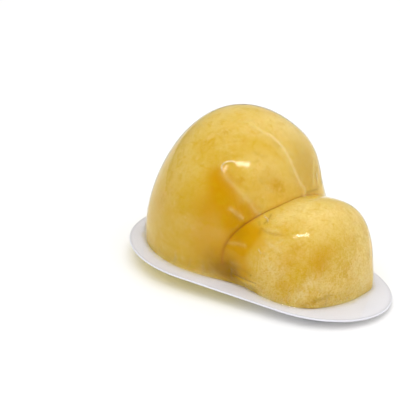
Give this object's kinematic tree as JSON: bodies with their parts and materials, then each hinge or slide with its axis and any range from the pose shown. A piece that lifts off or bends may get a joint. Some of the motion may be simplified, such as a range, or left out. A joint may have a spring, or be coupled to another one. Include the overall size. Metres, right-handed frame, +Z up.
{
  "type": "vacuum-packed smoked scamorza",
  "caption": "Smoked pear-shaped cheese with a large body and a small head, drawn tight in clear film on a pear-shaped white card, lying cheese side up.",
  "frame": {"origin": "on the table, under the middle of the card", "axes": "+X along the pack towards the cheese's small head, +Z up out of the card"},
  "size_m": [0.1172, 0.088, 0.0648],
  "materials": {
    "card": "white coated card under clear film, slightly glossy",
    "cheese": "golden smoked rind, mottled, under tight clear film",
    "film": "clear glossy shrink film with fine stretch creases"
  },
  "bodies": {
    "root": {"card": "card", "wrapped_scamorza": "cheese"}
  },
  "joints": []
}
